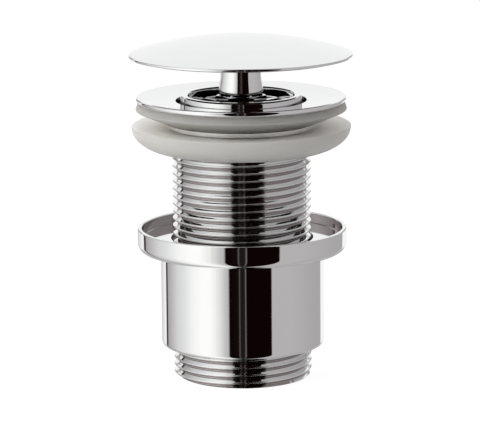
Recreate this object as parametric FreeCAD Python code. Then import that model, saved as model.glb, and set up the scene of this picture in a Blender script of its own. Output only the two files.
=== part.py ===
"""Free-flow basin waste with a raised fixed dome, a flanged tail and a screw-on outlet sleeve.

Millimetres. +Z is up along the axis of the waste, and the origin is the centre of its outlet end.
Pipe and metric threads are plain cylinders at their major diameter, with a running clearance.
"""
import FreeCAD
import Part

import math
import os

# Threads and fits
PIPE_THREAD_R = 41.91 / 2          # one and a quarter inch pipe thread, major radius
STUD_R = 4.0                       # M8 stud through dome boss, stem, nut and grid
THREAD_CLEARANCE = 0.05            # radial, between a male and a female thread
SEAT_CLEARANCE = 0.05              # radial, between an O-ring and the wall that it slides along
SOFT_CLEARANCE = 0.3               # radial, between a loose seal and the metal inside it
THREAD_END_CHAMFER = 0.7

# Water way through tail and outlet
TAIL_WALL = 3.555                  # at the crests of the thread
WATER_WAY_R = PIPE_THREAD_R - TAIL_WALL

# Flange of the body and rim of the cup, which are equally wide
FLANGE_R = 31.75
FLANGE_THICKNESS = 1.5
FLANGE_EDGE_ROUND = 0.7
FLANGE_DISH = 1.3                  # its top falls by this much to the edge of the recess
FLANGE_SEAT_FALL = 1.0             # and its underside by this much to the neck
RIM_R = FLANGE_R
RIM_HEIGHT = 6.0
RIM_WALL = 1.4
RIM_UNDER_ROUND = 2.0
RIM_EDGE_ROUND = 0.5

# Outlet sleeve: outlet thread, skirt, cup and what is inside it
OUTLET_THREAD_LENGTH = 9.6
SKIRT_LENGTH = 30.1
SKIRT_EDGE_ROUND = 1.3
SKIRT_WALL = 1.55                  # round the ring groove
CUP_DEPTH = 3.3
CUP_CORNER_ROUND = 0.4
CUP_LEAD_IN = 0.6
SHOULDER_WALL = 1.8                # floor of the sleeve's inside, above the skirt's lower edge
SLEEVE_THREAD_LENGTH = 9.0         # below the ring groove
SLEEVE_RELIEF = 0.45               # the bore below the thread is this much wider
SLEEVE_BORE_R = PIPE_THREAD_R + THREAD_CLEARANCE
RING_GROOVE_DROP = 1.5             # cup floor to the top of the ring groove
RING_GROOVE_HEIGHT = 3.0
RING_GROOVE_DEPTH = 2.195
RING_GROOVE_R = SLEEVE_BORE_R + RING_GROOVE_DEPTH
SLEEVE_RING_CLEARANCE = 0.075      # radial, between the ring and the tail that it hugs
SKIRT_R = RING_GROOVE_R + SKIRT_WALL

# Body: neck, threaded tail and the recess for the grid
SLEEVE_TO_FLANGE = 40.1            # rim of the sleeve up to the top of the flange, as screwed on
NECK_STEP = 1.245                  # neck over the crests of the thread
NECK_WALL = 2.45                   # round the recess
NECK_R = PIPE_THREAD_R + NECK_STEP
NECK_LENGTH = 7.6                  # from the top of the flange
TAIL_LENGTH = 54.5                 # from the top of the flange
RECESS_R = NECK_R - NECK_WALL
RECESS_DEPTH = 6.6
RECESS_EDGE_ROUND = 0.15

# Seals
FLANGE_SEAL_PROUD = 0.3            # its edge over the edge of the flange
FLANGE_SEAL_INSET = 0.55           # its top inside the edge of the flange
FLANGE_SEAL_EDGE_DROP = 2.5        # underside of the flange to the widest edge
FLANGE_SEAL_HEIGHT = 6.5
FLANGE_SEAL_LIP = 0.3              # width of the flat at its lower end
FLANGE_SEAL_ROUND = 0.45
GASKET_PROUD = 1.35                # its edge over the rim of the cup that presses it
GASKET_TOP_DROP = 8.8              # top of the flange to the top of the gasket, as pushed on
GASKET_BAND = 0.5                  # upright band under its top edge
GASKET_HEIGHT = 7.75
GASKET_EDGE_ROUND = 0.1
GASKET_DISH = 0.6                  # its top falls by this much towards the tail

# Inlet grid that drops into the recess
GRID_CLEARANCE = 0.5               # radial, between the skirt of the grid and the recess
GRID_BEAD_INSET = 0.85             # skirt to bead
GRID_BEAD_HEIGHT = 0.45            # above the top of the flange
GRID_BEAD_WIDTH = 2.4
GRID_BEAD_ROUND = 0.65
GRID_PLATE_DROP = 2.4              # top of the flange to the ledge and the spokes
GRID_HUB_DROP = 1.6                # and to the hub, which stands over the spokes
GRID_WALL = 4.15                   # skirt to opening
GRID_STEP_DROP = 2.9               # top of the flange to the step from bead to skirt
GRID_GROOVE_DROP = 3.7
GRID_SKIRT_R = RECESS_R - GRID_CLEARANCE
GRID_BEAD_R = GRID_SKIRT_R - GRID_BEAD_INSET
GRID_OPENING_R = GRID_SKIRT_R - GRID_WALL
O_RING_SECTION_R = 0.825
O_RING_SPACE = 0.55                # the groove is this much taller than its O-ring
SPOKE_COUNT = 4
SPOKE_FIRST_ANGLE = 45.0
SPOKE_TOP_WIDTH = 2.4
SPOKE_FOOT_WIDTH = 1.5
SPOKE_HUB_DEPTH = 3.9
SPOKE_RIM_DEPTH = 2.6
HUB_WALL = 3.35
HUB_R = STUD_R + THREAD_CLEARANCE + HUB_WALL
HUB_EDGE_ROUND = 0.5

# Dome and what carries it
NUT_WALL = 2.65                    # across the flats
NUT_HEIGHT = 1.8
NUT_CHAMFER = 0.6
STEM_WALL = 2.15
STEM_FOOT_STEP = 0.5
STEM_FOOT_HEIGHT = 2.4
STEM_FLARE_HEIGHT = 2.8
STEM_R = STUD_R + THREAD_CLEARANCE + STEM_WALL
STEM_FOOT_R = STEM_R + STEM_FOOT_STEP
STEM_EDGE_ROUND = 0.12
DOME_R = 33.75
DOME_RISE = 5.35                   # crown above the upper edge of the rim
DOME_EDGE = 0.75
DOME_EDGE_ROUND = 0.33
DOME_WALL = 1.4
DOME_GAP = 12.0                    # top of the flange to the lower edge of the dome
BOSS_WALL = 3.95
BOSS_R = STUD_R + THREAD_CLEARANCE + BOSS_WALL
BOSS_LIFT = 0.4                    # edge of the dome up to the foot of its boss
BOSS_EDGE_ROUND = 0.5
SOLDER_GAP = 0.05
STUD_END_GAP = 0.4                 # between the stud and the blind end of the boss thread
BOSS_ROOF = 1.2
STUD_BELOW_HUB = 1.4
STUD_CHAMFER = 0.6

# Heights that follow from the sizes above
SLEEVE_HEIGHT = OUTLET_THREAD_LENGTH + SKIRT_LENGTH + RIM_HEIGHT
RIM_FOOT_Z = OUTLET_THREAD_LENGTH + SKIRT_LENGTH
CUP_FLOOR_Z = SLEEVE_HEIGHT - CUP_DEPTH
RING_GROOVE_TOP_Z = CUP_FLOOR_Z - RING_GROOVE_DROP
RING_GROOVE_FOOT_Z = RING_GROOVE_TOP_Z - RING_GROOVE_HEIGHT
SHOULDER_Z = OUTLET_THREAD_LENGTH + SHOULDER_WALL
FLANGE_Z = SLEEVE_HEIGHT + SLEEVE_TO_FLANGE
FLANGE_FOOT_Z = FLANGE_Z - FLANGE_THICKNESS
NECK_FOOT_Z = FLANGE_Z - NECK_LENGTH
TAIL_END_Z = FLANGE_Z - TAIL_LENGTH
RECESS_FLOOR_Z = FLANGE_Z - RECESS_DEPTH
GRID_PLATE_Z = FLANGE_Z - GRID_PLATE_DROP
HUB_TOP_Z = FLANGE_Z - GRID_HUB_DROP
GRID_GROOVE_TOP_Z = FLANGE_Z - GRID_GROOVE_DROP
GRID_GROOVE_HEIGHT = 2 * O_RING_SECTION_R + O_RING_SPACE
NUT_TOP_Z = HUB_TOP_Z + NUT_HEIGHT
DOME_EDGE_Z = FLANGE_Z + DOME_GAP
DOME_SHOULDER_Z = DOME_EDGE_Z + DOME_EDGE
CROWN_Z = DOME_SHOULDER_Z + DOME_RISE
BOSS_FOOT_Z = DOME_EDGE_Z + BOSS_LIFT
BOSS_TOP_Z = CROWN_Z - DOME_WALL - SOLDER_GAP
STUD_TOP_Z = BOSS_TOP_Z - BOSS_ROOF - STUD_END_GAP
STUD_FOOT_Z = RECESS_FLOOR_Z - STUD_BELOW_HUB
DOME_SPHERE_R = (DOME_R ** 2 + DOME_RISE ** 2) / (2 * DOME_RISE)


def point(radius, height):
    """A point of a half section, in the XZ plane."""
    return FreeCAD.Vector(radius, 0, height)


def section_edges(corners, closed=True):
    """Lines through corners (radius, height) or (radius, height, rounding), with the roundings as arcs."""
    corners = [tuple(corner) + (0,) * (3 - len(corner)) for corner in corners]
    count = len(corners)
    stretches = []
    for index, (radius, height, rounding) in enumerate(corners):
        here = point(radius, height)
        if rounding == 0:
            stretches.append((here, None, here))
            continue
        before = point(*corners[index - 1][:2])
        after = point(*corners[(index + 1) % count][:2])
        back = (before - here).normalize()
        on = (after - here).normalize()
        half_turn = back.getAngle(on) / 2
        setback = rounding / math.tan(half_turn)
        bisector = (back + on).normalize()
        middle = here + bisector * (rounding / math.sin(half_turn) - rounding)
        stretches.append((here + back * setback, middle, here + on * setback))
    edges = []
    for index, (start, middle, end) in enumerate(stretches):
        if middle is not None:
            edges.append(Part.Arc(start, middle, end).toShape())
        if index < count - 1 or closed:
            following = stretches[(index + 1) % count][0]
            edges.append(Part.LineSegment(end, following).toShape())
    return edges


def revolved(edges):
    """The solid that a closed half section sweeps about the Z axis."""
    face = Part.Face(Part.Wire(Part.__sortEdges__(edges)))
    return face.revolve(FreeCAD.Vector(0, 0, 0), FreeCAD.Vector(0, 0, 1), 360)


def turned(corners):
    return revolved(section_edges(corners))


def bored(solid, radius, foot, top):
    """The solid with a round hole on its axis from foot to top."""
    return solid.cut(Part.makeCylinder(radius, top - foot, FreeCAD.Vector(0, 0, foot)))


def ring(centre_r, section_r, height):
    return Part.makeTorus(centre_r, section_r, FreeCAD.Vector(0, 0, height))


def outlet_sleeve():
    """Chromed brass sleeve: cup rim, skirt, outlet thread, and the inner thread that runs on the tail."""
    relief_r = SLEEVE_BORE_R + SLEEVE_RELIEF
    thread_foot = RING_GROOVE_FOOT_Z - SLEEVE_THREAD_LENGTH
    return turned([
        (WATER_WAY_R, 0),
        (PIPE_THREAD_R - THREAD_END_CHAMFER, 0),
        (PIPE_THREAD_R, THREAD_END_CHAMFER),
        (PIPE_THREAD_R, OUTLET_THREAD_LENGTH),
        (SKIRT_R, OUTLET_THREAD_LENGTH, SKIRT_EDGE_ROUND),
        (SKIRT_R, RIM_FOOT_Z),
        (RIM_R, RIM_FOOT_Z, RIM_UNDER_ROUND),
        (RIM_R, SLEEVE_HEIGHT, RIM_EDGE_ROUND),
        (RIM_R - RIM_WALL, SLEEVE_HEIGHT, RIM_EDGE_ROUND),
        (RIM_R - RIM_WALL, CUP_FLOOR_Z, CUP_CORNER_ROUND),
        (SLEEVE_BORE_R + CUP_LEAD_IN, CUP_FLOOR_Z),
        (SLEEVE_BORE_R, CUP_FLOOR_Z - CUP_LEAD_IN),
        (SLEEVE_BORE_R, RING_GROOVE_TOP_Z),
        (RING_GROOVE_R, RING_GROOVE_TOP_Z),
        (RING_GROOVE_R, RING_GROOVE_FOOT_Z),
        (SLEEVE_BORE_R, RING_GROOVE_FOOT_Z),
        (SLEEVE_BORE_R, thread_foot),
        (relief_r, thread_foot - SLEEVE_RELIEF),
        (relief_r, SHOULDER_Z),
        (WATER_WAY_R, SHOULDER_Z),
    ])


def sleeve_ring():
    """Rubber ring in the groove under the cup floor. It hugs the tail, so it slides and need not turn."""
    inside_r = PIPE_THREAD_R + SLEEVE_RING_CLEARANCE
    outside_r = RING_GROOVE_R - SEAT_CLEARANCE
    middle_z = (RING_GROOVE_TOP_Z + RING_GROOVE_FOOT_Z) / 2
    return ring((inside_r + outside_r) / 2, (outside_r - inside_r) / 2, middle_z)


def waste_body():
    """Chromed brass body: dished flange, neck, threaded tail, and the recess that the grid drops into."""
    return turned([
        (RECESS_R, FLANGE_Z - FLANGE_DISH, RECESS_EDGE_ROUND),
        (FLANGE_R, FLANGE_Z, FLANGE_EDGE_ROUND),
        (FLANGE_R, FLANGE_FOOT_Z, FLANGE_EDGE_ROUND),
        (NECK_R, FLANGE_FOOT_Z - FLANGE_SEAT_FALL),
        (NECK_R, NECK_FOOT_Z),
        (PIPE_THREAD_R, NECK_FOOT_Z),
        (PIPE_THREAD_R, TAIL_END_Z + THREAD_END_CHAMFER),
        (PIPE_THREAD_R - THREAD_END_CHAMFER, TAIL_END_Z),
        (WATER_WAY_R, TAIL_END_Z),
        (WATER_WAY_R, RECESS_FLOOR_Z),
        (RECESS_R, RECESS_FLOOR_Z),
    ])


def seat_z(radius):
    """Height of the flange's sloping underside at that radius."""
    return FLANGE_FOOT_Z - FLANGE_SEAT_FALL * (FLANGE_R - radius) / (FLANGE_R - NECK_R)


def flange_seal():
    """Soft seal under the flange, with a conical underside that centres it in the basin's hole."""
    inside_r = NECK_R + SEAT_CLEARANCE
    top_r = FLANGE_R - FLANGE_SEAL_INSET
    edge_r = FLANGE_R + FLANGE_SEAL_PROUD
    foot = FLANGE_FOOT_Z - FLANGE_SEAL_HEIGHT
    return turned([
        (inside_r, seat_z(inside_r)),
        (top_r, seat_z(top_r)),
        (edge_r, FLANGE_FOOT_Z - FLANGE_SEAL_EDGE_DROP, FLANGE_SEAL_ROUND),
        (inside_r + FLANGE_SEAL_LIP, foot),
        (inside_r, foot),
    ])


def basin_gasket():
    """Soft bowl-shaped gasket that the cup presses up against the basin's underside."""
    inside_r = PIPE_THREAD_R + SOFT_CLEARANCE
    edge_r = RIM_R + GASKET_PROUD
    top = FLANGE_Z - GASKET_TOP_DROP
    band_foot = top - GASKET_BAND
    foot = top - GASKET_HEIGHT
    edges = section_edges([
        (inside_r, foot),
        (inside_r, top - GASKET_DISH),
        (edge_r, top, GASKET_EDGE_ROUND),
        (edge_r, band_foot),
    ], closed=False)
    bowl = Part.Ellipse(point(edge_r, band_foot), point(inside_r, foot), point(inside_r, band_foot))
    edges.append(Part.ArcOfEllipse(bowl, 0, math.pi / 2).toShape())
    return revolved(edges)


def spoke(angle):
    """One cast spoke from the hub to the ring, narrower at its foot and shallower at the ring."""
    def end_section(radius, depth):
        top_half = SPOKE_TOP_WIDTH / 2
        foot_half = SPOKE_FOOT_WIDTH / 2
        foot = GRID_PLATE_Z - depth
        outline = [
            (-top_half, GRID_PLATE_Z),
            (top_half, GRID_PLATE_Z),
            (foot_half, foot),
            (-foot_half, foot),
        ]
        corners = [FreeCAD.Vector(radius, across, height) for across, height in outline]
        return Part.makePolygon(corners + corners[:1])

    inner_r = (STUD_R + HUB_R) / 2
    outer_r = (GRID_OPENING_R + GRID_SKIRT_R - 2 * O_RING_SECTION_R) / 2
    ends = [end_section(inner_r, SPOKE_HUB_DEPTH), end_section(outer_r, SPOKE_RIM_DEPTH)]
    return Part.makeLoft(ends, True).rotate(FreeCAD.Vector(0, 0, 0), FreeCAD.Vector(0, 0, 1), angle)


def inlet_grid():
    """Chromed grid: beaded ring with an O-ring groove, a cross of spokes, and a tapped hub for the stud."""
    groove_foot = GRID_GROOVE_TOP_Z - GRID_GROOVE_HEIGHT
    groove_r = RECESS_R - SEAT_CLEARANCE - 2 * O_RING_SECTION_R
    bead_top = FLANGE_Z + GRID_BEAD_HEIGHT
    step = FLANGE_Z - GRID_STEP_DROP
    ring_body = turned([
        (GRID_OPENING_R, RECESS_FLOOR_Z),
        (GRID_SKIRT_R, RECESS_FLOOR_Z),
        (GRID_SKIRT_R, groove_foot),
        (groove_r, groove_foot),
        (groove_r, GRID_GROOVE_TOP_Z),
        (GRID_SKIRT_R, GRID_GROOVE_TOP_Z),
        (GRID_SKIRT_R, step),
        (GRID_BEAD_R, step + GRID_SKIRT_R - GRID_BEAD_R),
        (GRID_BEAD_R, bead_top, GRID_BEAD_ROUND),
        (GRID_BEAD_R - GRID_BEAD_WIDTH, bead_top, GRID_BEAD_ROUND),
        (GRID_BEAD_R - GRID_BEAD_WIDTH, GRID_PLATE_Z),
        (GRID_OPENING_R, GRID_PLATE_Z),
    ])
    hub = turned([
        (0, RECESS_FLOOR_Z),
        (HUB_R, RECESS_FLOOR_Z, HUB_EDGE_ROUND),
        (HUB_R, HUB_TOP_Z, HUB_EDGE_ROUND),
        (0, HUB_TOP_Z),
    ])
    spokes = [spoke(SPOKE_FIRST_ANGLE + index * 360 / SPOKE_COUNT) for index in range(SPOKE_COUNT)]
    grid = ring_body.multiFuse([hub] + spokes).removeSplitter()
    return bored(grid, STUD_R + THREAD_CLEARANCE, RECESS_FLOOR_Z, HUB_TOP_Z)


def grid_ring():
    """O-ring that seals and holds the grid in its recess."""
    return ring(RECESS_R - SEAT_CLEARANCE - O_RING_SECTION_R, O_RING_SECTION_R,
                GRID_GROOVE_TOP_Z - GRID_GROOVE_HEIGHT / 2)


def lock_nut():
    """Hexagon nut between hub and stem, with its corners chamfered at both faces."""
    flat_r = STUD_R + THREAD_CLEARANCE + NUT_WALL
    corner_r = flat_r / math.cos(math.radians(30))
    corners = []
    for index in range(7):
        angle = math.radians(60 * index)
        corners.append(FreeCAD.Vector(corner_r * math.cos(angle), corner_r * math.sin(angle), HUB_TOP_Z))
    prism = Part.Face(Part.makePolygon(corners)).extrude(FreeCAD.Vector(0, 0, NUT_HEIGHT))
    chamfer_rise = NUT_CHAMFER * math.tan(math.radians(30))
    blank = turned([
        (0, HUB_TOP_Z),
        (corner_r - NUT_CHAMFER, HUB_TOP_Z),
        (corner_r, HUB_TOP_Z + chamfer_rise),
        (corner_r, NUT_TOP_Z - chamfer_rise),
        (corner_r - NUT_CHAMFER, NUT_TOP_Z),
        (0, NUT_TOP_Z),
    ])
    return bored(prism.common(blank), STUD_R + THREAD_CLEARANCE, HUB_TOP_Z, NUT_TOP_Z)


def cap_stem():
    """Chromed stem with a flared foot, drilled through for the stud."""
    bore_r = STUD_R + THREAD_CLEARANCE
    flare_z = NUT_TOP_Z + STEM_FOOT_HEIGHT
    return turned([
        (bore_r, NUT_TOP_Z),
        (STEM_FOOT_R, NUT_TOP_Z, STEM_EDGE_ROUND),
        (STEM_FOOT_R, flare_z, STEM_FLARE_HEIGHT / 2),
        (STEM_R, flare_z + STEM_FLARE_HEIGHT, STEM_FLARE_HEIGHT / 2),
        (STEM_R, BOSS_FOOT_Z),
        (bore_r, BOSS_FOOT_Z),
    ])


def stem_stud():
    """Steel stud that ties hub, nut, stem and boss together."""
    return turned([
        (0, STUD_FOOT_Z),
        (STUD_R - STUD_CHAMFER, STUD_FOOT_Z),
        (STUD_R, STUD_FOOT_Z + STUD_CHAMFER),
        (STUD_R, STUD_TOP_Z - STUD_CHAMFER),
        (STUD_R - STUD_CHAMFER, STUD_TOP_Z),
        (0, STUD_TOP_Z),
    ])


def dome_ball(offset):
    """The sphere of the dome's face, or one inside it by the offset."""
    return Part.makeSphere(DOME_SPHERE_R - offset, FreeCAD.Vector(0, 0, CROWN_Z - DOME_SPHERE_R))


def dome_cap():
    """Pressed and chromed dome, hollow underneath, with a blunt rounded edge."""
    height = CROWN_Z - DOME_EDGE_Z
    disc = Part.makeCylinder(DOME_R, height, FreeCAD.Vector(0, 0, DOME_EDGE_Z))
    hollow = Part.makeCylinder(DOME_R - DOME_WALL, height, FreeCAD.Vector(0, 0, DOME_EDGE_Z))
    shell = disc.common(dome_ball(0)).cut(hollow.common(dome_ball(DOME_WALL)))
    rim_length = 2 * math.pi * DOME_R
    rim_edges = [edge for edge in shell.Edges if abs(edge.Length - rim_length) < DOME_EDGE]
    return shell.makeFillet(DOME_EDGE_ROUND, rim_edges)


def dome_boss():
    """Brass boss soldered inside the dome, with the blind thread for the stud."""
    height = CROWN_Z - BOSS_FOOT_Z
    blank = turned([
        (0, BOSS_FOOT_Z),
        (BOSS_R, BOSS_FOOT_Z, BOSS_EDGE_ROUND),
        (BOSS_R, BOSS_FOOT_Z + height),
        (0, BOSS_FOOT_Z + height),
    ])
    boss = blank.common(dome_ball(DOME_WALL + SOLDER_GAP))
    return bored(boss, STUD_R + THREAD_CLEARANCE, BOSS_FOOT_Z, BOSS_TOP_Z - BOSS_ROOF)


NODES = {
    "outlet_sleeve": outlet_sleeve,
    "sleeve_ring": sleeve_ring,
    "waste_body": waste_body,
    "flange_seal": flange_seal,
    "basin_gasket": basin_gasket,
    "inlet_grid": inlet_grid,
    "grid_ring": grid_ring,
    "lock_nut": lock_nut,
    "cap_stem": cap_stem,
    "stem_stud": stem_stud,
    "dome_cap": dome_cap,
    "dome_boss": dome_boss,
}

os.makedirs("parts", exist_ok=True)
for name, make in NODES.items():
    make().exportStep(f"parts/{name}.step")
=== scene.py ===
"""Looks of the free-flow basin waste: chromed brass, milky soft seals, black rubber, steel and bare brass."""

import math

import bmesh
import bpy
from mathutils import Matrix, Vector


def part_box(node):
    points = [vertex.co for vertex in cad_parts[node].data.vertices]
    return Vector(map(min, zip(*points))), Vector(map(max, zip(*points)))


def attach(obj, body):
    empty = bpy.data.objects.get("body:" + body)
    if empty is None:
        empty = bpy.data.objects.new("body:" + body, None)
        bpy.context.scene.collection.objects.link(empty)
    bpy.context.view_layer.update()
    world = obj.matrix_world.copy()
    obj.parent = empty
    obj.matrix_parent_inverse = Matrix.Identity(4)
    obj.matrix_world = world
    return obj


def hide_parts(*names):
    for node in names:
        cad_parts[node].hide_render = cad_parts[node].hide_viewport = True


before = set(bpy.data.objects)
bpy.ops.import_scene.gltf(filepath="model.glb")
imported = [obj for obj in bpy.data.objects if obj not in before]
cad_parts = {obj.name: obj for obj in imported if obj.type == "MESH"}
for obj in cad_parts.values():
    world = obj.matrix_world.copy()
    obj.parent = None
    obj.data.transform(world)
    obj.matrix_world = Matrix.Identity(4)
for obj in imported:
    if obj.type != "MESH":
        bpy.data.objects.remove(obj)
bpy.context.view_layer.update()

# Sizes are in millimetres, and heights are measured from the outlet's end.
MM = 0.001
TINY = 1e-7               # metres, less than lies between two points that aren't one
ROUND_STEPS = 6           # faces across the rounding of an edge
TURN_STEPS = 192          # faces round a turned piece
SMALL_STEPS = 96          # faces round a small one
THREAD_STEPS = 144        # faces round a thread
SHARP = math.radians(32)  # faces that meet at more than this keep a sharp edge


def tall(node):
    """Heights of a solid's lower and upper end, in millimetres."""
    low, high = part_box(node)
    return low.z / MM, high.z / MM


def wide(node):
    """Radius of a turned solid, in millimetres."""
    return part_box(node)[1].y / MM


TAIL_END = tall("waste_body")[0]
SLEEVE_TOP = tall("outlet_sleeve")[1]
SEAL_FOOT, SEAL_TOP = tall("flange_seal")
GASKET_FOOT, GASKET_TOP = tall("basin_gasket")
RECESS_FLOOR, BEAD_TOP = tall("inlet_grid")
NUT_FOOT, NUT_TOP = tall("lock_nut")
DOME_EDGE, CROWN = tall("dome_cap")
BOSS_FOOT, BOSS_TOP = tall("dome_boss")
STUD_FOOT, STUD_TOP = tall("stem_stud")
FLANGE_TOP = BEAD_TOP - 0.45
FLANGE_FOOT = FLANGE_TOP - 1.5
DISH = 1.3                # the flange's top falls by this much to the edge of the recess
SEAT_FALL = 1.0           # and its underside by this much to the neck
NECK_FOOT = GASKET_TOP - 0.45
OUTLET_TOP = 9.6
PIPE_R = 41.91 / 2
PIPE_PITCH = 25.4 / 11    # eleven turns to the inch
PIPE_CHAMFER = 0.7
STUD_PITCH = 1.25
STUD_CHAMFER = 0.6
FLANK = math.tan(math.radians(27.5))     # Whitworth flanks stand 55 degrees apart
TIP_ROUND = 0.137329      # radius of Whitworth crests and roots, as a share of the pitch
BORE_R = 17.4
RECESS_R = 19.75
NECK_R = 22.2
STUD_HOLE_R = 4.05
RUNNING = 0.05            # clearance between pieces that slide or turn on each other
ROOT_R = PIPE_R - 1.0     # the roots of a thread, up to here, get painted shade on a duller plate
HAIR = 0.05               # past a radius, to pick the faces that lie on it


# Shapes

def corner(radius, height, setback=0.0, about=None, steps=1, squash=1.0):
    """A corner of a half section. setback is how far its rounding begins from it. about is the centre
    of an arc that leads to it, and squash the arc's height over its width."""
    return {"at": (radius, height), "setback": setback, "about": about, "steps": steps, "squash": squash}


def place(radius, height):
    return Vector((radius * MM, 0, height * MM))


def arc(bm, start, item):
    """Sweeps the arc from a vertex to the corner that follows, and returns its last vertex."""
    centre = place(*item["about"])
    unsquashed = Matrix.Diagonal((1, 1, 1 / item["squash"])).to_3x3()
    first = unsquashed @ (start.co - centre)
    last = unsquashed @ (place(*item["at"]) - centre)
    angle = math.atan2(first.z, first.x) - math.atan2(last.z, last.x)
    start.co = centre + first
    before = set(bm.verts)
    swept = bmesh.ops.spin(bm, geom=[start], cent=centre, axis=(0, 1, 0), dvec=(0, 0, 0), angle=angle,
                           steps=item["steps"])
    along = [start] + [vert for vert in bm.verts if vert not in before]
    bmesh.ops.scale(bm, vec=(1, 1, item["squash"]), space=Matrix.Translation(-centre), verts=along)
    return swept["geom_last"][0]


def section(bm, corners, closed=True):
    """The edges of a half section in the plane of X and Z, with its roundings and arcs. What would run
    along the axis is left out, and if it isn't closed, so is the edge from its last corner to its first."""
    first = here = bm.verts.new(place(*corners[0]["at"]))
    rounded = [(here, corners[0]["setback"])]
    for item in corners[1:]:
        if item["about"] is None:
            following = bm.verts.new(place(*item["at"]))
            bm.edges.new((here, following))
        else:
            following = arc(bm, here, item)
        rounded.append((following, item["setback"]))
        here = following
    closing = bm.edges.new((here, first))
    bmesh.ops.contextual_create(bm, geom=bm.edges[:])
    for vert, setback in rounded:
        if setback:
            bmesh.ops.bevel(bm, geom=[vert], offset=setback * MM, offset_type="OFFSET", segments=ROUND_STEPS,
                            profile=0.5, affect="VERTICES", material=-1)
    bmesh.ops.delete(bm, geom=bm.faces[:], context="FACES_ONLY")
    left_out = [edge for edge in bm.edges if all(vert.co.x < TINY for vert in edge.verts)
                or edge == closing and not closed]
    bmesh.ops.delete(bm, geom=left_out, context="EDGES")


def spun(bm, steps=TURN_STEPS):
    """Sweeps vertices and edges once round the Z axis."""
    bmesh.ops.spin(bm, geom=bm.verts[:] + bm.edges[:], cent=(0, 0, 0), axis=(0, 0, 1), dvec=(0, 0, 0),
                   angle=math.tau, steps=steps, use_merge=True)
    return bm


def turned(corners, steps=TURN_STEPS, closed=True):
    """A half section, swept round the Z axis."""
    bm = bmesh.new()
    section(bm, corners, closed)
    return spun(bm, steps)


def helix(crest_r, pitch, foot, top, chamfer):
    """A right-handed thread of Whitworth form from foot to top, open at both ends, with a chamfer of
    45 degrees at its foot. The stud's metric thread is drawn in this form too."""
    triangle = pitch / 2 / FLANK
    crest = crest_r + triangle / 6
    root = crest_r - triangle * 5 / 6
    setback = TIP_ROUND * pitch / FLANK
    inside = crest_r - 1.6 * pitch       # only closes the section, and is deleted before the sweep
    turns = math.ceil((top - foot) / pitch) + 4
    low = foot - 2.5 * pitch
    high = low + turns * pitch
    corners = [corner(inside, low)]
    for turn in range(turns):
        corners.append(corner(root, low + turn * pitch, setback if turn else 0))
        corners.append(corner(crest, low + (turn + 0.5) * pitch, setback))
    corners.append(corner(root, high))
    corners.append(corner(inside, high))
    bm = bmesh.new()
    section(bm, corners, closed=False)
    closing = [vert for vert in bm.verts if vert.co.x < (inside + 0.1 * pitch) * MM]
    bmesh.ops.delete(bm, geom=closing, context="VERTS")
    bmesh.ops.spin(bm, geom=bm.verts[:] + bm.edges[:], cent=(0, 0, 0), axis=(0, 0, 1),
                   dvec=(0, 0, pitch * MM / THREAD_STEPS), angle=math.tau, steps=THREAD_STEPS)
    bmesh.ops.remove_doubles(bm, verts=bm.verts, dist=20 * TINY)
    for height, side in ((foot, -1), (top, 1)):
        bmesh.ops.bisect_plane(bm, geom=bm.verts[:] + bm.edges[:] + bm.faces[:], dist=TINY,
                               plane_co=(0, 0, height * MM), plane_no=(0, 0, side), clear_outer=True)
    for vert in bm.verts:
        limit = (crest_r - chamfer) * MM + vert.co.z - foot * MM
        radius = vert.co.xy.length
        if radius > limit:
            vert.co.xy *= limit / radius
    return bm


def joined(bm, *others):
    """Adds the meshes of other bmeshes to the first."""
    for other in others:
        mesh = bpy.data.meshes.new("part")
        other.to_mesh(mesh)
        other.free()
        bm.from_mesh(mesh)
        bpy.data.meshes.remove(mesh)
    return bm


def open_edges(bm, height):
    """The edges of the open rims at that height."""
    return [edge for edge in bm.edges if edge.is_boundary and all(
        abs(vert.co.z - height * MM) < 10 * TINY for vert in edge.verts)]


def bridged(bm, *heights):
    """Bridges the two open rims at each of those heights."""
    for height in heights:
        bmesh.ops.bridge_loops(bm, edges=open_edges(bm, height))
    return bm


def piece(name, bm, body, material, slot, *nodes):
    """Makes the finished piece, rides it on its body, and has it replace its solids."""
    bmesh.ops.remove_doubles(bm, verts=bm.verts, dist=TINY)
    bmesh.ops.recalc_face_normals(bm, faces=bm.faces[:])
    for face in bm.faces:
        face.smooth = True
    mesh = bpy.data.meshes.new(name)
    bm.to_mesh(mesh)
    bm.free()
    mesh.set_sharp_from_angle(angle=SHARP)
    mesh.materials.append(material)
    shown = bpy.data.objects.new(name, mesh)
    bpy.context.scene.collection.objects.link(shown)
    weighting = shown.modifiers.new("even_shading", "WEIGHTED_NORMAL")
    weighting.keep_sharp = True
    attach(shown, body)
    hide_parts(*nodes)
    return shown


def paint_shade_on(shown, plate, in_shade):
    """Gives a duller and darker plate to faces in hollows, crevices and thread roots: the dullness is plate
    that the buffing wheel hardly reached, the darkness painted shade. in_shade tells them by their centre in
    millimetres and their normal."""
    shown.data.materials.append(plate)
    number = len(shown.data.materials) - 1
    for face in shown.data.polygons:
        if in_shade(face.center / MM, face.normal):
            face.material_index = number


# Materials

def linear(code):
    """An sRGB hex colour as linear red, green, blue and alpha."""
    shades = [int(code[index:index + 2], 16) / 255 for index in (1, 3, 5)]
    return tuple(s / 12.92 if s <= 0.04045 else ((s + 0.055) / 1.055) ** 2.4 for s in shades) + (1.0,)


def add(tree, kind, inputs=None, **settings):
    """Adds a node with its settings. An input is a value, or the socket that feeds it."""
    node = tree.nodes.new(kind)
    for key, value in settings.items():
        setattr(node, key, value)
    for key, value in (inputs or {}).items():
        if isinstance(value, bpy.types.NodeSocket):
            tree.links.new(value, node.inputs[key])
        else:
            node.inputs[key].default_value = value
    return node


def begun(name):
    """A new material, its empty tree, and the coordinates that its patterns hang on."""
    material = bpy.data.materials.new(name)
    material.use_nodes = True
    tree = material.node_tree
    tree.nodes.clear()
    return material, tree, add(tree, "ShaderNodeTexCoord").outputs["Object"]


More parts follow.
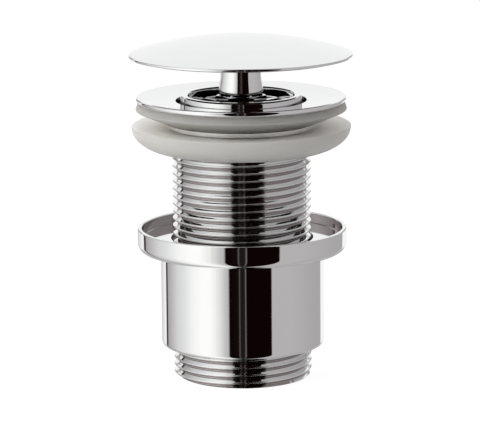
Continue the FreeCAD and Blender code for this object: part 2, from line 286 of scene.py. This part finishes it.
def finished(tree, inputs):
    """Ends a material's tree in a Principled shader with those inputs."""
    shader = add(tree, "ShaderNodeBsdfPrincipled", inputs)
    add(tree, "ShaderNodeOutputMaterial", {"Surface": shader.outputs[0]})


def coloured(ramp, dark, light):
    """Gives the two stops of a colour ramp their sRGB hex colours, and returns what it puts out."""
    ramp.color_ramp.elements[0].color = linear(dark)
    ramp.color_ramp.elements[1].color = linear(light)
    return ramp.outputs[0]


def scale_for(size):
    """Scale of a noise pattern with patches of that size, in millimetres."""
    return 1 / (size * MM)


def polished_chrome_plate():
    """Chrome plated on buffed brass: a clear cold mirror, with a faint haze in patches from the buffing."""
    material, tree, spot = begun("polished_chrome_plate")
    haze = add(tree, "ShaderNodeTexNoise", {
        "Vector": spot, "Scale": scale_for(7.14), "Detail": 3.0, "Roughness": 0.6})
    tint = add(tree, "ShaderNodeValToRGB", {"Fac": haze.outputs[0]})
    rough = add(tree, "ShaderNodeMapRange", {
        "Value": haze.outputs[0], "From Min": 0.3, "From Max": 0.7, "To Min": 0.025, "To Max": 0.05})
    finished(tree, {
        "Metallic": 1.0, "Base Color": coloured(tint, "#ECEDEE", "#F2F2F2"), "Roughness": rough.outputs[0]})
    return material


def dull_shaded_plate(name, dark, light, clear, hazy):
    """The same plate over brass that was hardly buffed: duller and slightly mottled, and darker, which paints
    the shade in hollows, crevices and thread roots. clear and hazy are the roughness of its least and most
    dull spots."""
    material, tree, spot = begun(name)
    mottle = add(tree, "ShaderNodeTexNoise", {"Vector": spot, "Scale": scale_for(2.38), "Detail": 4.0})
    tint = add(tree, "ShaderNodeValToRGB", {"Fac": mottle.outputs[0]})
    rough = add(tree, "ShaderNodeMapRange", {"Value": mottle.outputs[0], "To Min": clear, "To Max": hazy})
    finished(tree, {
        "Metallic": 1.0, "Base Color": coloured(tint, dark, light), "Roughness": rough.outputs[0]})
    return material


def milky_soft_vinyl():
    """Moulded unpigmented soft vinyl: cloudy and satin, and light passes well through it. The grain of
    its mould is drawn coarser than it is, or it wouldn't show."""
    material, tree, spot = begun("milky_soft_vinyl")
    cloud = add(tree, "ShaderNodeTexNoise", {"Vector": spot, "Scale": scale_for(11.1), "Detail": 4.0})
    tint = add(tree, "ShaderNodeValToRGB", {"Fac": cloud.outputs[0]})
    tint.color_ramp.elements[0].position = 0.3
    tint.color_ramp.elements[1].position = 0.7
    grain = add(tree, "ShaderNodeTexNoise", {"Vector": spot, "Scale": scale_for(0.4545), "Detail": 2.0})
    bump = add(tree, "ShaderNodeBump", {"Height": grain.outputs[0], "Strength": 0.06, "Distance": 0.0001})
    finished(tree, {
        "IOR": 1.45, "Roughness": 0.4, "Subsurface Weight": 1.0, "Subsurface Radius": (1.0, 0.97, 0.93),
        "Subsurface Scale": 0.043, "Base Color": coloured(tint, "#E9E3D8", "#EFEAE0"),
        "Normal": bump.outputs[0]})
    return material


def black_nitrile_rubber():
    """Moulded nitrile rubber: near black and satin, with a matt grain, drawn coarser than it is."""
    material, tree, spot = begun("black_nitrile_rubber")
    grain = add(tree, "ShaderNodeTexNoise", {"Vector": spot, "Scale": scale_for(0.667), "Detail": 3.0})
    tint = add(tree, "ShaderNodeValToRGB", {"Fac": grain.outputs[0]})
    rough = add(tree, "ShaderNodeMapRange", {"Value": grain.outputs[0], "To Min": 0.4, "To Max": 0.6})
    bump = add(tree, "ShaderNodeBump", {"Height": grain.outputs[0], "Strength": 0.1, "Distance": 0.0001})
    finished(tree, {
        "IOR": 1.52, "Base Color": coloured(tint, "#141414", "#242423"), "Roughness": rough.outputs[0],
        "Normal": bump.outputs[0]})
    return material


def rolled_stainless_steel():
    """Stainless steel with a rolled thread: a dull grey metal, streaked along its bar."""
    material, tree, spot = begun("rolled_stainless_steel")
    drawn = add(tree, "ShaderNodeMapping", {"Vector": spot, "Scale": (1.0, 1.0, 0.15)})
    streak = add(tree, "ShaderNodeTexNoise", {
        "Vector": drawn.outputs[0], "Scale": scale_for(0.714), "Detail": 3.0})
    tint = add(tree, "ShaderNodeValToRGB", {"Fac": streak.outputs[0]})
    rough = add(tree, "ShaderNodeMapRange", {"Value": streak.outputs[0], "To Min": 0.25, "To Max": 0.42})
    finished(tree, {
        "Metallic": 1.0, "Base Color": coloured(tint, "#9C9DA0", "#C4C5C7"), "Roughness": rough.outputs[0]})
    return material


def turned_bare_brass():
    """Free-cutting brass off the lathe: warm yellow and slightly dulled, with fine rings from the tool,
    drawn coarser than they are."""
    material, tree, spot = begun("turned_bare_brass")
    dull = add(tree, "ShaderNodeTexNoise", {"Vector": spot, "Scale": scale_for(4.0), "Detail": 4.0})
    tint = add(tree, "ShaderNodeValToRGB", {"Fac": dull.outputs[0]})
    rough = add(tree, "ShaderNodeMapRange", {"Value": dull.outputs[0], "To Min": 0.22, "To Max": 0.4})
    ring_gap = 0.625
    ring_turn = math.tau / 20            # a Wave texture turns by 20 radians where its scale gives 1
    rings = add(tree, "ShaderNodeTexWave", {"Vector": spot, "Scale": ring_turn * scale_for(ring_gap)},
                wave_type="RINGS", rings_direction="Z")
    bump = add(tree, "ShaderNodeBump", {
        "Height": rings.outputs["Fac"], "Strength": 0.15, "Distance": 0.00005})
    finished(tree, {
        "Metallic": 1.0, "Base Color": coloured(tint, "#B9964F", "#D9BA72"), "Roughness": rough.outputs[0],
        "Normal": bump.outputs[0]})
    return material


CHROME = polished_chrome_plate()
# Darker plates whose colour is painted shade: deep in bores and hollows, lighter in thread roots and the cup.
# Their higher roughness is plate that was hardly buffed.
DEEP_SHADE_PLATE = dull_shaded_plate("dull_chrome_painted_deep_shade", "#3E3B3A", "#5A5756", 0.3, 0.5)
SHADE_PLATE = dull_shaded_plate("dull_chrome_painted_shade", "#A29C9C", "#B2ACAB", 0.08, 0.16)
VINYL = milky_soft_vinyl()
RUBBER = black_nitrile_rubber()
STEEL = rolled_stainless_steel()
BRASS = turned_bare_brass()


# Body with its flange, neck and threaded tail

def waste_body():
    edge = wide("waste_body")
    dish_edge = FLANGE_TOP - DISH
    shade_top = dish_edge - 0.9        # below here the recess wall gets painted shade on a duller plate
    thread = helix(PIPE_R, PIPE_PITCH, TAIL_END, NECK_FOOT, PIPE_CHAMFER)
    core = turned([
        corner(BORE_R, TAIL_END),
        corner(BORE_R, RECESS_FLOOR),
        corner(RECESS_R, RECESS_FLOOR),
        corner(RECESS_R, shade_top),
        corner(RECESS_R, dish_edge, 0.15),
        corner(edge, FLANGE_TOP, 0.7),
        corner(edge, FLANGE_FOOT, 0.7),
        corner(NECK_R, FLANGE_FOOT - SEAT_FALL),
        corner(NECK_R, NECK_FOOT),
    ], closed=False)
    body = piece("body_with_flange", bridged(joined(thread, core), TAIL_END, NECK_FOOT), "waste_body", CHROME,
                 "chrome", "waste_body")
    # Painted shade: thread roots a little darker, the bore and the deep recess wall much darker.
    paint_shade_on(body, SHADE_PLATE, lambda spot, normal: spot.z < NECK_FOOT and spot.xy.length < ROOT_R)
    paint_shade_on(body, DEEP_SHADE_PLATE, lambda spot, normal: spot.xy.length < BORE_R + HAIR
              or RECESS_FLOOR - HAIR < spot.z < shade_top and spot.xy.length < RECESS_R + HAIR)


# Sleeve with its outlet thread, skirt and cup

def outlet_sleeve():
    rim = wide("outlet_sleeve")
    rim_foot = SLEEVE_TOP - 7.1
    cup_wall = 1.4
    cup_floor = SLEEVE_TOP - 3.3
    skirt = 24.75
    bore = PIPE_R + RUNNING
    lead_in = 0.6
    gland = bore + 2.195
    gland_top = cup_floor - 1.5
    gland_foot = gland_top - 3.0
    thread_foot = gland_foot - 9.0
    relief = 0.45
    shoulder = OUTLET_TOP + 1.8
    thread = helix(PIPE_R, PIPE_PITCH, 0.0, OUTLET_TOP, PIPE_CHAMFER)
    core = turned([
        corner(BORE_R, 0.0),
        corner(BORE_R, shoulder),
        corner(bore + relief, shoulder),
        corner(bore + relief, thread_foot - relief),
        corner(bore, thread_foot),
        corner(bore, gland_foot),
        corner(gland, gland_foot),
        corner(gland, gland_top),
        corner(bore, gland_top),
        corner(bore, cup_floor - lead_in),
        corner(bore + lead_in, cup_floor),
        corner(rim - cup_wall, cup_floor, 0.4),
        corner(rim - cup_wall, SLEEVE_TOP, 0.5),
        corner(rim, SLEEVE_TOP, 0.5),
        corner(rim, rim_foot, 2.4),
        corner(skirt, rim_foot),
        corner(skirt, OUTLET_TOP, 1.3),
        corner(PIPE_R + 0.4, OUTLET_TOP),
    ], closed=False)
    # The bridge at OUTLET_TOP crosses itself: its faces close the bore, and differ from run to run.
    sleeve = piece("sleeve_with_cup", bridged(joined(thread, core), 0.0, OUTLET_TOP), "outlet_sleeve", CHROME,
                   "chrome", "outlet_sleeve")
    # Painted shade: thread roots and the cup's inner wall a little darker, the bore and the faces under the
    # cup much darker.
    paint_shade_on(sleeve, SHADE_PLATE, lambda spot, normal: spot.z < OUTLET_TOP and spot.xy.length < ROOT_R
              or cup_floor < spot.z < SLEEVE_TOP - 0.4 and spot.xy.length < rim - cup_wall + 0.1)
    paint_shade_on(sleeve, DEEP_SHADE_PLATE, lambda spot, normal: spot.xy.length < BORE_R + HAIR
              or OUTLET_TOP < spot.z < cup_floor - 0.1 and spot.xy.length < skirt - 1)


# Soft seals and rubber rings

def flange_seal():
    """A ring that fills the flange's hollow underside, and narrows downwards to the neck."""
    inside = NECK_R + RUNNING
    edge = wide("flange_seal")
    piece("flange_seal_soft", turned([
        corner(inside, FLANGE_FOOT - SEAT_FALL),
        corner(edge - 0.85, SEAL_TOP, 0.2),
        corner(edge, FLANGE_FOOT - 2.5, 0.3),
        corner(inside + 0.3, SEAL_FOOT, 0.1),
        corner(inside, SEAL_FOOT),
    ]), "waste_body", VINYL, "seal", "flange_seal")


def basin_gasket():
    """A bowl that slides on the tail: a slightly dished top, an upright band, and a round underside."""
    inside = PIPE_R + 0.3
    edge = wide("basin_gasket")
    band_foot = GASKET_TOP - 0.5
    squash = (band_foot - GASKET_FOOT) / (edge - inside)
    piece("basin_gasket_soft", turned([
        corner(inside, GASKET_TOP - 0.6, 0.15),
        corner(edge, GASKET_TOP, 0.25),
        corner(edge, band_foot),
        corner(inside, GASKET_FOOT, about=(inside, band_foot), steps=24, squash=squash),
    ]), "gasket", VINYL, "seal", "basin_gasket")


def rubber_ring(name, node, body):
    """A moulded ring of round section."""
    low, high = tall(node)
    section_r = (high - low) / 2
    middle = (high + low) / 2
    centre = wide(node) - section_r
    bm = bmesh.new()
    start = bm.verts.new(place(centre + section_r, middle))
    bmesh.ops.spin(bm, geom=[start], cent=place(centre, middle), axis=(0, 1, 0), dvec=(0, 0, 0),
                   angle=math.tau, steps=24, use_merge=True)
    piece(name, spun(bm), body, RUBBER, "black_rubber", node)


# Inlet grid, nut, stem, stud, dome and boss, which lift out together

def spoke(number, top):
    """One of the grid's four spokes, tapered downwards and outwards, from inside the hub into the ring."""
    half_top = 1.2
    half_foot = 0.75
    bm = bmesh.new()
    ends = []
    for radius, depth in ((5.7, 3.9), (16.35, 2.6)):
        foot = top - depth
        across = [(-half_top, top), (half_top, top), (half_foot, foot), (-half_foot, foot)]
        verts = [bm.verts.new((radius * MM, aside * MM, height * MM)) for aside, height in across]
        ends.append([bm.edges.new((verts[i], verts[(i + 1) % 4])) for i in range(4)])
    bmesh.ops.bridge_loops(bm, edges=ends[0] + ends[1])
    for end in ends:
        bmesh.ops.contextual_create(bm, geom=end)
    long_edges = [edge for edge in bm.edges if edge.calc_length() > 8 * MM]
    bmesh.ops.bevel(bm, geom=long_edges, offset=0.45 * MM, offset_type="OFFSET", segments=3, profile=0.5,
                    affect="EDGES", material=-1)
    turn = Matrix.Rotation(math.radians(45 + 90 * number), 3, "Z")
    bmesh.ops.rotate(bm, cent=(0, 0, 0), matrix=turn, verts=bm.verts)
    return bm


def inlet_grid():
    skirt = wide("inlet_grid")
    bead = skirt - 0.85
    bead_inside = bead - 2.4
    opening = skirt - 4.15
    plate = FLANGE_TOP - 2.4
    step = FLANGE_TOP - 2.9
    step_top = step + skirt - bead       # it slopes at 45 degrees
    groove_r = RECESS_R - RUNNING - 1.65
    groove_top = FLANGE_TOP - 3.7
    groove_foot = groove_top - 2.2
    hub_r = 7.4
    ring = turned([
        corner(opening, RECESS_FLOOR),
        corner(skirt, RECESS_FLOOR),
        corner(skirt, groove_foot),
        corner(groove_r, groove_foot),
        corner(groove_r, groove_top),
        corner(skirt, groove_top),
        corner(skirt, step),
        corner(bead, step_top),
        corner(bead - 0.17, BEAD_TOP, 0.65),
        corner(bead_inside, BEAD_TOP, 0.65),
        corner(bead_inside, plate),
        corner(opening, plate, 0.2),
    ])
    hub = turned([
        corner(STUD_HOLE_R, RECESS_FLOOR),
        corner(hub_r, RECESS_FLOOR, 0.5),
        corner(hub_r, NUT_FOOT, 0.5),
        corner(STUD_HOLE_R, NUT_FOOT),
    ], SMALL_STEPS)
    spokes = [spoke(number, plate) for number in range(4)]
    grid = piece("inlet_grid_cross", joined(ring, hub, *spokes), "dome_insert", CHROME, "chrome",
                 "inlet_grid")
    # Painted shade: the faces under the plate and the foot of the bead much darker.
    paint_shade_on(grid, DEEP_SHADE_PLATE, lambda spot, normal: spot.z < plate - 0.3
              or spot.z < step_top + HAIR and spot.xy.length > bead - 0.1)


def lock_nut():
    flat = wide("lock_nut")
    half_side = math.radians(30)
    corner_r = flat / math.cos(half_side)
    chamfer = 0.6
    drop = chamfer * math.tan(half_side)
    bm = turned([
        corner(STUD_HOLE_R, NUT_FOOT),
        corner(corner_r - chamfer, NUT_FOOT),
        corner(corner_r, NUT_FOOT + drop),
        corner(corner_r, NUT_TOP - drop),
        corner(corner_r - chamfer, NUT_TOP),
        corner(STUD_HOLE_R, NUT_TOP),
    ])
    for number in range(6):
        bearing = math.radians(30 + 60 * number)
        out = Vector((math.cos(bearing), math.sin(bearing), 0))
        cut = bmesh.ops.bisect_plane(bm, geom=bm.verts[:] + bm.edges[:] + bm.faces[:], dist=TINY,
                                     plane_co=out * flat * MM, plane_no=out, clear_outer=True)
        rim = [edge for edge in cut["geom_cut"] if isinstance(edge, bmesh.types.BMEdge)]
        bmesh.ops.holes_fill(bm, edges=rim)
    piece("lock_nut_hexagon", bm, "dome_insert", CHROME, "chrome", "lock_nut")


def cap_stem():
    foot_r = wide("cap_stem")
    stem_r = foot_r - 0.5
    flare_foot = NUT_TOP + 2.4
    flare_top = flare_foot + 2.8
    piece("cap_stem_turned", turned([
        corner(STUD_HOLE_R, NUT_TOP),
        corner(foot_r, NUT_TOP, 0.12),
        corner(foot_r, flare_foot, 1.2),
        corner(stem_r, flare_top, 1.2),
        corner(stem_r, BOSS_FOOT),
        corner(STUD_HOLE_R, BOSS_FOOT),
    ]), "dome_insert", CHROME, "chrome", "cap_stem")


def stem_stud():
    bm = helix(wide("stem_stud"), STUD_PITCH, STUD_FOOT, STUD_TOP, STUD_CHAMFER)
    for height in (STUD_FOOT, STUD_TOP):
        bmesh.ops.contextual_create(bm, geom=open_edges(bm, height))
    piece("stem_stud_threaded", bm, "dome_insert", STEEL, "steel", "stem_stud")


def dome():
    """The pressed dome and, soldered into it, the boss that holds the stud."""
    wall = 1.4
    edge = wide("dome_cap")
    shoulder = DOME_EDGE + 0.75
    rise = CROWN - shoulder
    outer = (edge ** 2 + rise ** 2) / (2 * rise)
    inner = outer - wall
    centre = (0, CROWN - outer)
    inner_edge = edge - wall
    inner_shoulder = centre[1] + math.sqrt(inner ** 2 - inner_edge ** 2)
    pressed = piece("dome_pressed", turned([
        corner(0, CROWN),
        corner(edge, shoulder, 0.33, about=centre, steps=40),
        corner(edge, DOME_EDGE, 0.33),
        corner(inner_edge, DOME_EDGE, 0.2),
        corner(inner_edge, inner_shoulder, 0.1),
        corner(0, CROWN - wall, about=centre, steps=30),
    ]), "dome_insert", CHROME, "chrome", "dome_cap")
    middle = Vector((0, 0, centre[1]))
    # Painted shade: the dome's underside much darker.
    paint_shade_on(pressed, DEEP_SHADE_PLATE, lambda spot, normal: spot.xy.length < inner_edge + HAIR and (
        normal.z < 0.1 or (spot - middle).length < inner + 0.3))
    boss = wide("dome_boss")
    seat = inner - RUNNING
    hole_top = BOSS_TOP - 1.2
    piece("dome_boss_turned", turned([
        corner(STUD_HOLE_R, BOSS_FOOT),
        corner(boss, BOSS_FOOT, 0.5),
        corner(boss, centre[1] + math.sqrt(seat ** 2 - boss ** 2)),
        corner(0, BOSS_TOP, about=centre, steps=8),
        corner(0, hole_top),
        corner(STUD_HOLE_R, hole_top),
    ], SMALL_STEPS), "dome_insert", BRASS, "bare_brass", "dome_boss")


waste_body()
outlet_sleeve()
flange_seal()
basin_gasket()
rubber_ring("sleeve_ring_rubber", "sleeve_ring", "sleeve_ring")
rubber_ring("grid_ring_rubber", "grid_ring", "dome_insert")
inlet_grid()
lock_nut()
cap_stem()
stem_stud()
dome()


# Camera at the photograph's angle

def camera():
    """It stands 0.95 m in front of the waste, a little above it, with the photograph's slight roll."""
    lens = bpy.data.cameras.new("camera")
    lens.lens = 239.25
    lens.sensor_width = 36.0
    lens.clip_start = 0.01
    view = bpy.data.objects.new("camera", lens)
    view.location = (0.0, -0.95, 0.2348)
    toward = Vector((-0.0006, 0.0, 0.0505)) - view.location
    roll = Matrix.Rotation(math.radians(0.45), 3, toward.normalized())
    view.rotation_euler = (roll @ toward.to_track_quat("-Z", "Y").to_matrix()).to_euler()
    bpy.context.scene.collection.objects.link(view)
    bpy.context.scene.camera = view


# Studio, which the chrome mirrors and the camera doesn't see

# The walls, by degrees to the right of the camera's side: pale panels, a dark strip at the camera's side
# with two light lines in it, a grey wall to the right, and a narrow dark gap behind at the left
WALLS = [
    (-180, "#E8E8E8"), (-174, "#EAEAEA"), (-168, "#C4C3C3"), (-143, "#F0EFEF"), (-139.5, "#F4F4F4"),
    (-138.5, "#2A2625"), (-134, "#2A2625"), (-132, "#A3A1A2"), (-116, "#C2BFC0"), (-106, "#D3D3D3"),
    (-89, "#E3E3E3"), (-74, "#F7F7F5"), (-60, "#FFFFFD"), (-47, "#FFFFFD"), (-36, "#ECEDEA"),
    (-24, "#C1BFC0"), (-20, "#B8B6B6"), (-18.6, "#0C0304"), (-5.6, "#140C0C"), (-4.8, "#9A9492"),
    (-4.0, "#1E1817"), (3.9, "#1E1817"), (4.6, "#9A9492"), (5.4, "#0C0304"), (41, "#0C0304"),
    (42.2, "#B4B1B1"), (70, "#B4B1B2"), (121, "#A8A6A7"), (144.5, "#A6A4A5"), (146, "#F4F4F4"),
    (180, "#E8E8E8"),
]

# What covers the walls, each where two soft edges overlap. An edge lies at a height or at a distance aside,
# both on a sphere of radius 1, or at a bearing from the camera's side in radians. It starts at its first
# number and is full at its second.
ZONES = {
    "sky": (("height", -0.1, -0.04), ("bearing", 2.35, 2.65)),
    "grey corners of the sky": (("aside", 0.24, 0.3), ("height", 0.4, 0.25)),
    "dark panel overhead": (("height", 0.76, 0.84), ("aside", 0.3, 0.2)),
    "table behind": (("height", -0.22, -0.34), ("bearing", 2.43, 2.52)),
    "table below": (("height", -0.5, -0.66), ("bearing", 2.1, 2.3)),
}
STRIP_MIDDLE = 0.035      # the dark strip along the table, as a distance aside
STRIP_EDGE = (0.16, 0.11)
MIRRORED_POWER = 1.13     # against 1 for the white that the camera sees
UNDER = 6                 # colour inputs of a Mix node
OVER = 7


def studio():
    world = bpy.data.worlds.new("studio")
    bpy.context.scene.world = world
    world.use_nodes = True
    tree = world.node_tree
    tree.nodes.clear()
    toward = add(tree, "ShaderNodeTexCoord").outputs["Generated"]
    part = add(tree, "ShaderNodeSeparateXYZ", {0: toward}).outputs
    front = add(tree, "ShaderNodeMath", {0: part["Y"], 1: -1.0}, operation="MULTIPLY").outputs[0]
    bearing = add(tree, "ShaderNodeMath", {0: part["X"], 1: front}, operation="ARCTAN2").outputs[0]
    along = add(tree, "ShaderNodeMapRange", {"Value": bearing, "From Min": -math.pi, "From Max": math.pi})
    walls = add(tree, "ShaderNodeValToRGB", {"Fac": along.outputs[0]})
    stops = walls.color_ramp.elements
    stops[0].color = linear(WALLS[0][1])
    stops[1].color = linear(WALLS[-1][1])
    for degrees, code in WALLS[1:-1]:
        stops.new((degrees + 180) / 360).color = linear(code)

    measured = {
        "height": part["Z"],
        "aside": add(tree, "ShaderNodeMath", {0: part["X"]}, operation="ABSOLUTE").outputs[0],
        "bearing": add(tree, "ShaderNodeMath", {0: bearing}, operation="ABSOLUTE").outputs[0],
    }
    zones = {}
    for name, limits in ZONES.items():
        edges = []
        for kind, start, full in limits:
            edge = add(tree, "ShaderNodeMapRange", {"Value": measured[kind], "From Min": start,
                                                   "From Max": full}, interpolation_type="SMOOTHSTEP")
            edges.append(edge.outputs[0])
        zones[name] = add(tree, "ShaderNodeMath", {0: edges[0], 1: edges[1]}, operation="MULTIPLY").outputs[0]
    table = add(tree, "ShaderNodeMath", {0: zones["table behind"], 1: zones["table below"]},
                operation="MAXIMUM").outputs[0]
    from_strip = add(tree, "ShaderNodeMath", {0: part["X"], 1: STRIP_MIDDLE}, operation="SUBTRACT").outputs[0]
    from_strip = add(tree, "ShaderNodeMath", {0: from_strip}, operation="ABSOLUTE").outputs[0]
    strip = add(tree, "ShaderNodeMapRange", {"Value": from_strip, "From Min": STRIP_EDGE[0],
                                            "From Max": STRIP_EDGE[1]}, interpolation_type="SMOOTHSTEP")

    sky = add(tree, "ShaderNodeMix", {"Factor": zones["grey corners of the sky"], UNDER: linear("#EEEEEE"),
                                      OVER: linear("#A5A19F")}, data_type="RGBA").outputs[2]
    sky = add(tree, "ShaderNodeMix", {"Factor": zones["dark panel overhead"], UNDER: sky,
                                      OVER: linear("#0C0908")}, data_type="RGBA").outputs[2]
    ground = add(tree, "ShaderNodeMix", {"Factor": strip.outputs[0], UNDER: linear("#B4B2B1"),
                                         OVER: linear("#140C0C")}, data_type="RGBA").outputs[2]
    room = add(tree, "ShaderNodeMix", {"Factor": zones["sky"], UNDER: walls.outputs[0], OVER: sky},
               data_type="RGBA").outputs[2]
    room = add(tree, "ShaderNodeMix", {"Factor": table, UNDER: room, OVER: ground},
               data_type="RGBA").outputs[2]
    to_camera = add(tree, "ShaderNodeLightPath").outputs["Is Camera Ray"]
    shown = add(tree, "ShaderNodeMix", {"Factor": to_camera, UNDER: room, OVER: (1, 1, 1, 1)},
                data_type="RGBA").outputs[2]
    power = add(tree, "ShaderNodeMapRange", {"Value": to_camera, "To Min": MIRRORED_POWER, "To Max": 1.0})
    light = add(tree, "ShaderNodeBackground", {"Color": shown, "Strength": power.outputs[0]})
    add(tree, "ShaderNodeOutputWorld", {"Surface": light.outputs[0]})


def paper_floor():
    """White paper under the object. It shows white but for the object's shadow."""
    bm = bmesh.new()
    bmesh.ops.create_grid(bm, x_segments=1, y_segments=1, size=0.6)
    mesh = bpy.data.meshes.new("paper_floor")
    bm.to_mesh(mesh)
    bm.free()
    paper = bpy.data.materials.new("white_matt_paper")
    paper.use_nodes = True
    tree = paper.node_tree
    tree.nodes.clear()
    matt = add(tree, "ShaderNodeBsdfDiffuse", {"Color": linear("#F0F0F0")})
    glow = add(tree, "ShaderNodeEmission", {"Color": (1, 1, 1, 1), "Strength": 1.3})
    lit = add(tree, "ShaderNodeMixShader", {0: 0.7, 1: matt.outputs[0], 2: glow.outputs[0]})
    to_camera = add(tree, "ShaderNodeLightPath").outputs["Is Camera Ray"]
    seen = add(tree, "ShaderNodeMixShader", {0: to_camera, 1: matt.outputs[0], 2: lit.outputs[0]})
    add(tree, "ShaderNodeOutputMaterial", {"Surface": seen.outputs[0]})
    mesh.materials.append(paper)
    sheet = bpy.data.objects.new("paper_floor", mesh)
    sheet.location = (0, 0, -0.0002)
    sheet.visible_glossy = False
    bpy.context.scene.collection.objects.link(sheet)


def softbox():
    """One large soft lamp from the upper left, which metal doesn't mirror."""
    lamp = bpy.data.lights.new("softbox", "AREA")
    lamp.shape = "DISK"
    lamp.size = 0.5
    lamp.energy = 3.0
    held = bpy.data.objects.new("softbox", lamp)
    held.location = (-0.7, -0.5, 0.6)
    aim = Vector((0, 0, 0.06)) - held.location
    held.rotation_euler = aim.to_track_quat("-Z", "Y").to_euler()
    held.visible_glossy = False
    bpy.context.scene.collection.objects.link(held)


camera()
studio()
paper_floor()
softbox()
bpy.context.scene.view_settings.view_transform = "Standard"
